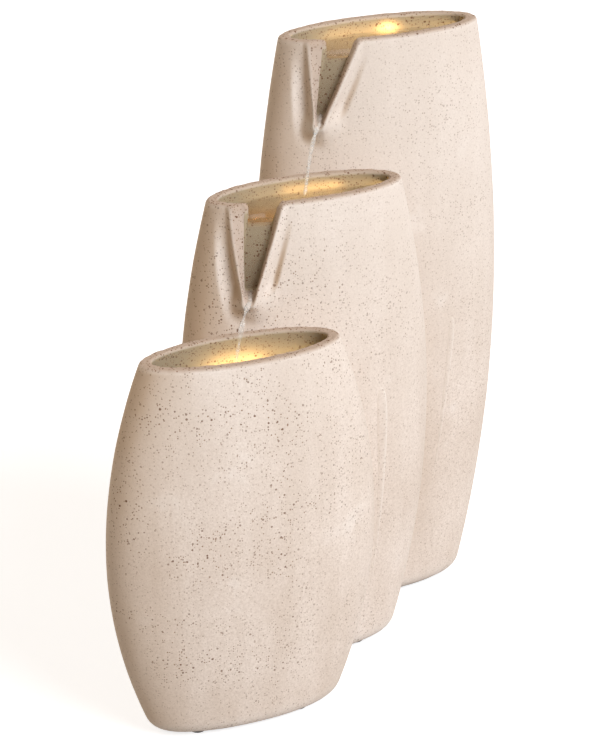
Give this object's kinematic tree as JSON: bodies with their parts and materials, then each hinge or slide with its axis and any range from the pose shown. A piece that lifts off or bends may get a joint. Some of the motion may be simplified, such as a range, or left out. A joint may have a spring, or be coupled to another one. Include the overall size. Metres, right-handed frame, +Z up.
{
  "type": "tabletop cascade fountain",
  "caption": "Cascade water fountain of flattened stone-finish barrels stepping down in a row, with V spouts, warm lamps inside and a small pump that lifts the water back up.",
  "frame": {"origin": "middle of the footprint's box, on the surface that the feet stand on", "axes": "+X along the barrels' long axis towards the tall barrel, +Y to the back, +Z up"},
  "size_m": [0.375, 0.2196, 0.466],
  "materials": {
    "sandstone": "matte, sand-cast",
    "grey_cement": "matte, trowelled",
    "stainless_steel": "satin",
    "black_rubber": "matte",
    "black_plastic": "moulded",
    "grey_plastic": "moulded",
    "white_ceramic": "polished",
    "warm_lens": "frosted",
    "light_board": "solder mask",
    "clear_hose": "clear",
    "water": "clear"
  },
  "bodies": {
    "fountain": {"cord_gland": "black_plastic", "front_feet": "black_rubber", "front_lamp_board": "light_board", "front_lamp_body": "black_plastic", "front_lamp_hold": "black_rubber", "front_lamp_lens": "warm_lens", "front_lamp_seal": "black_rubber", "front_sleeve": "black_rubber", "front_tie_bolts": "stainless_steel", "front_tie_nuts": "stainless_steel", "front_tie_seals": "black_rubber", "front_tie_washers": "stainless_steel", "front_vessel": "sandstone", "front_web": "sandstone", "gland_nut": "black_plastic", "gland_seal": "black_rubber", "middle_base_plate": "grey_cement", "middle_basin": "grey_cement", "middle_feet": "black_rubber", "middle_lamp_board": "light_board", "middle_lamp_body": "black_plastic", "middle_lamp_hold": "black_plastic", "middle_lamp_lens": "warm_lens", "middle_lamp_seal": "black_rubber", "middle_vessel": "sandstone", "outlet_fitting": "black_plastic", "outlet_gasket": "black_rubber", "outlet_nut": "black_plastic", "pump_body": "black_plastic", "pump_cups": "black_rubber", "rear_bush": "black_rubber", "rear_sleeve": "black_rubber", "rear_tie_bolts": "stainless_steel", "rear_tie_nuts": "stainless_steel", "rear_tie_seals": "black_rubber", "rear_tie_washers": "stainless_steel", "rear_web": "sandstone", "riser_hose": "clear_hose", "rotor_shaft": "white_ceramic", "tall_base_plate": "grey_cement", "tall_basin": "grey_cement", "tall_feet": "black_rubber", "tall_lamp_board": "light_board", "tall_lamp_body": "black_plastic", "tall_lamp_hold": "black_plastic", "tall_lamp_lens": "warm_lens", "tall_lamp_seal": "black_rubber", "tall_vessel": "sandstone"},
    "rotor": {"pump_rotor": "grey_plastic"},
    "intake_cover": {"pump_cover": "grey_plastic", "front_bush": "black_rubber"},
    "dial": {"flow_dial": "grey_plastic"}
  },
  "joints": [
    {"name": "rotor_spin", "type": "hinge", "parent": "fountain", "child": "rotor", "pos_m": [-0.055, -0.07091, 0.041], "axis": [1, 0, 0], "continuous": true},
    {"name": "cover_pull", "type": "slide", "parent": "fountain", "child": "intake_cover", "axis": [1, 0, 0], "range_m": [0, 0.018]},
    {"name": "dial_turn", "type": "hinge", "parent": "intake_cover", "child": "dial", "pos_m": [-0.055, -0.07091, 0.041], "axis": [1, 0, 0], "range_deg": [0, 30]}
  ]
}
